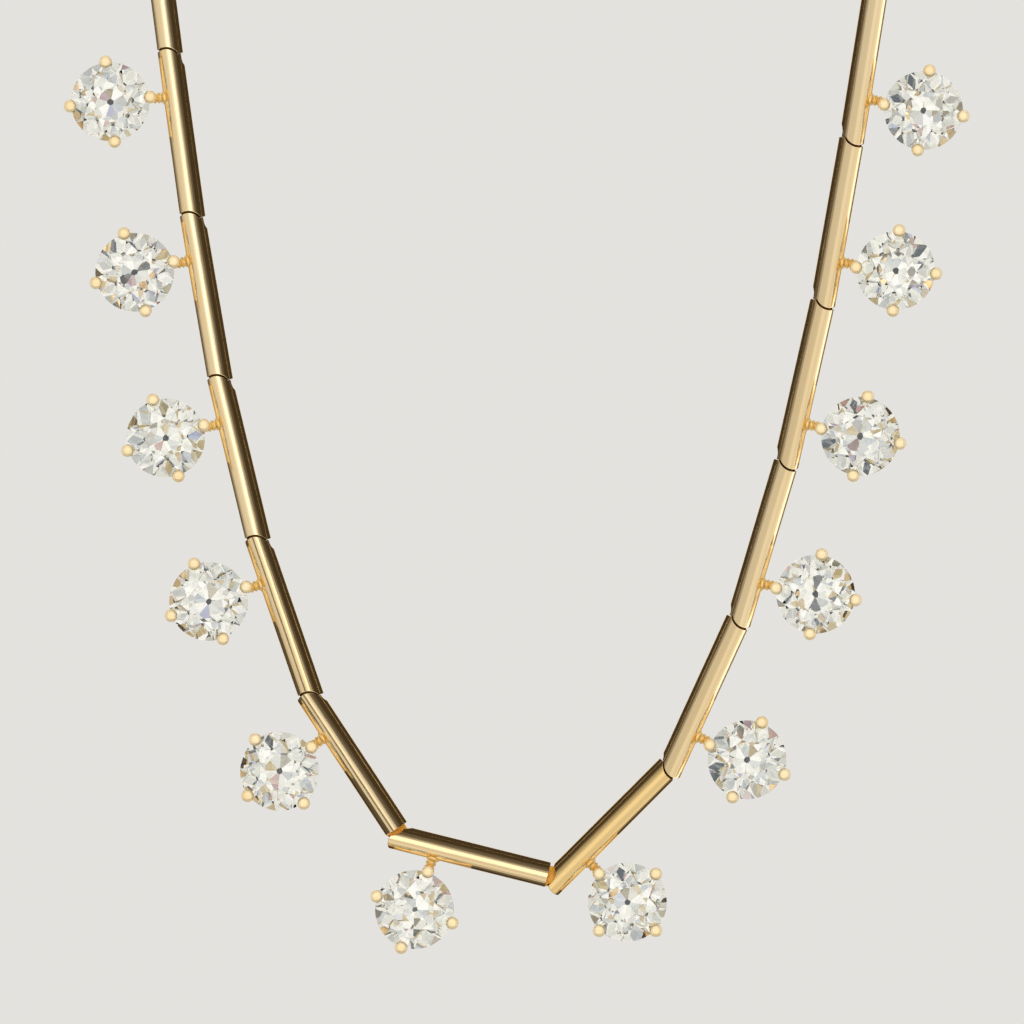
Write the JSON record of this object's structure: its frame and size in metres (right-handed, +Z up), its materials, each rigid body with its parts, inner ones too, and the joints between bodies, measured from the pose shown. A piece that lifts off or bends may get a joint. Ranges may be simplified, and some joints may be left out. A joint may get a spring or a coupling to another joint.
{
  "type": "diamond station necklace",
  "caption": "Hinged gold tube link necklace hanging in a loop, with round old European cut diamonds in four-claw settings on short ribbed stems.",
  "frame": {"origin": "the point on which the loop hangs: the inner, lower surface of the clasp in the middle of its length, at the top of the loop", "axes": "+Z up along the hanging loop, X across the loop, the stones' tables face -Y"},
  "size_m": [0.0686, 0.0038, 0.1771],
  "materials": {
    "gold": "polished yellow gold",
    "diamond": "clear, faintly warm, faceted and polished"
  },
  "bodies": {
    "root": {"link_01": "gold", "link_02": "gold", "link_03": "gold", "link_04": "gold", "link_05": "gold", "link_06": "gold", "link_07": "gold", "link_08": "gold", "link_09": "gold", "link_10": "gold", "link_11": "gold", "link_12": "gold", "stone_01": "diamond", "stone_02": "diamond", "stone_03": "diamond", "stone_04": "diamond", "stone_05": "diamond", "stone_06": "diamond", "stone_07": "diamond", "stone_08": "diamond", "stone_09": "diamond", "stone_10": "diamond", "stone_11": "diamond", "stone_12": "diamond", "plain_01": "gold", "plain_02": "gold", "plain_03": "gold", "plain_04": "gold", "plain_05": "gold", "plain_06": "gold", "plain_07": "gold", "plain_08": "gold", "plain_09": "gold", "plain_10": "gold", "plain_11": "gold", "plain_12": "gold", "plain_13": "gold", "plain_14": "gold", "plain_15": "gold", "plain_16": "gold", "plain_17": "gold", "plain_18": "gold", "plain_19": "gold", "clasp": "gold"}
  },
  "joints": []
}
